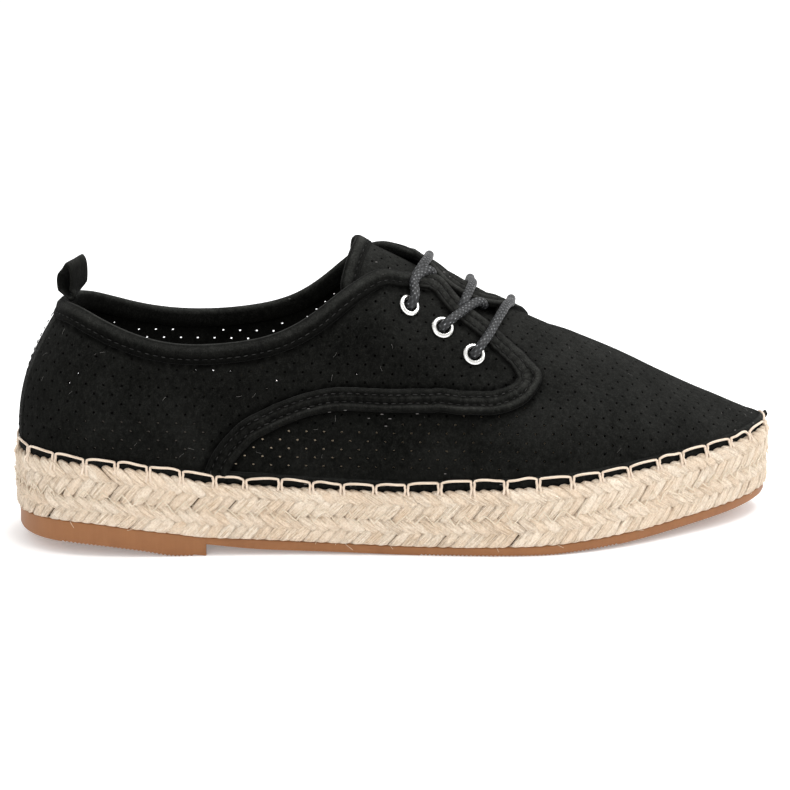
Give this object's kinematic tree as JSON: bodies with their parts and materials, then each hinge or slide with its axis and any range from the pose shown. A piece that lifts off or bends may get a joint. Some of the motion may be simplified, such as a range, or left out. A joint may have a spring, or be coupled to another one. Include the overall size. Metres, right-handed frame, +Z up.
{
  "type": "brogue shoe",
  "caption": "Black perforated suede lace-up derby with a two-row plaited jute platform, cream blanket stitch, thin tan gum outsole and silver eyelets.",
  "frame": {"origin": "middle of the shoe's plan box on the ground it stands on", "axes": "+X to the toe, +Y to the inner (medial) side, +Z up from the ground"},
  "size_m": [0.264, 0.0925, 0.101],
  "materials": {
    "gum_rubber": "satin",
    "plaited_jute": "matte",
    "footbed_cloth": "matte",
    "black_suede": "matte",
    "bright_nickel": "polished",
    "waxed_lace": "satin"
  },
  "bodies": {
    "root": {"outsole": "gum_rubber", "jute_lower": "plaited_jute", "jute_upper": "plaited_jute", "insole": "footbed_cloth", "upper": "black_suede", "tongue": "black_suede", "pull_loop": "black_suede", "eyelet_lateral_1": "bright_nickel", "eyelet_lateral_2": "bright_nickel", "eyelet_lateral_3": "bright_nickel", "eyelet_medial_1": "bright_nickel", "eyelet_medial_2": "bright_nickel", "eyelet_medial_3": "bright_nickel", "lace_bar": "waxed_lace", "lace_middle": "waxed_lace", "lace_top": "waxed_lace"}
  },
  "joints": []
}
